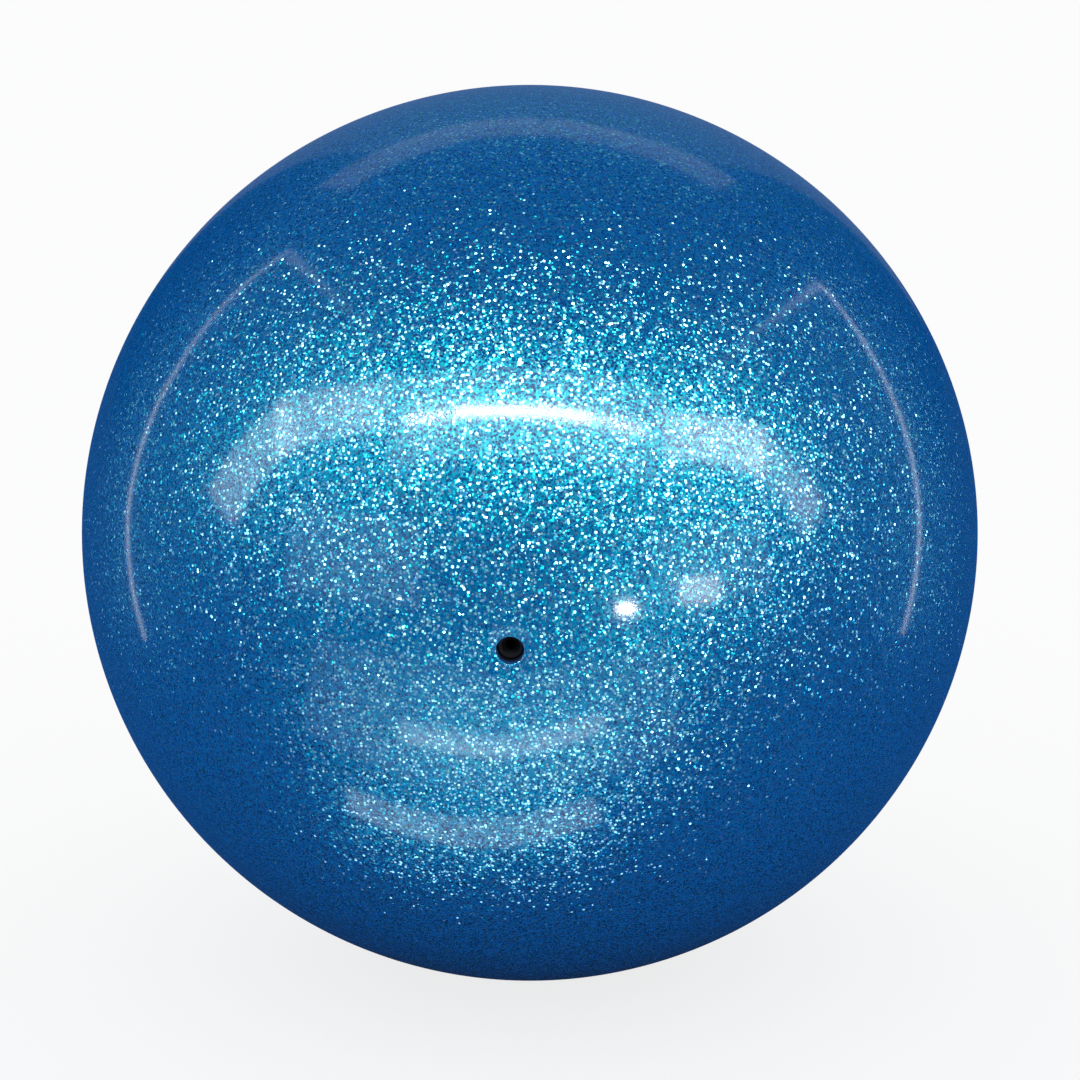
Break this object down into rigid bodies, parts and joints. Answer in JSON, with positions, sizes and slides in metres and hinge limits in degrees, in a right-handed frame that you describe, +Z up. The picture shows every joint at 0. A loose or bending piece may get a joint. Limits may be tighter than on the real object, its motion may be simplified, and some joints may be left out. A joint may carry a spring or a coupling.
{
  "type": "rhythmic gymnastics ball",
  "caption": "Hollow seamless rubber ball with a glossy glitter skin and a recessed needle valve, for rhythmic gymnastics routines.",
  "frame": {"origin": "centre of the ball", "axes": "-Y out of the ball along the valve axis, +Z up; the ball rests on a surface at its lowest point, under the origin"},
  "size_m": [0.19, 0.1898, 0.19],
  "materials": {
    "glitter_skin": "clear soft PVC over blue, filled with fine silver-blue glitter, high gloss",
    "ball_rubber": "smooth moulded rubber, satin",
    "valve_rubber": "moulded black rubber, matte",
    "core_rubber": "moulded black rubber, satin, lubricated"
  },
  "bodies": {
    "ball": {"glitter_skin": "glitter_skin", "ball_wall": "ball_rubber", "valve_housing": "valve_rubber"},
    "core": {"valve_core": "core_rubber"}
  },
  "joints": [
    {"name": "valve_core_pull", "type": "slide", "parent": "ball", "child": "core", "axis": [0, -1, 0], "range_m": [0, 0.02]}
  ]
}
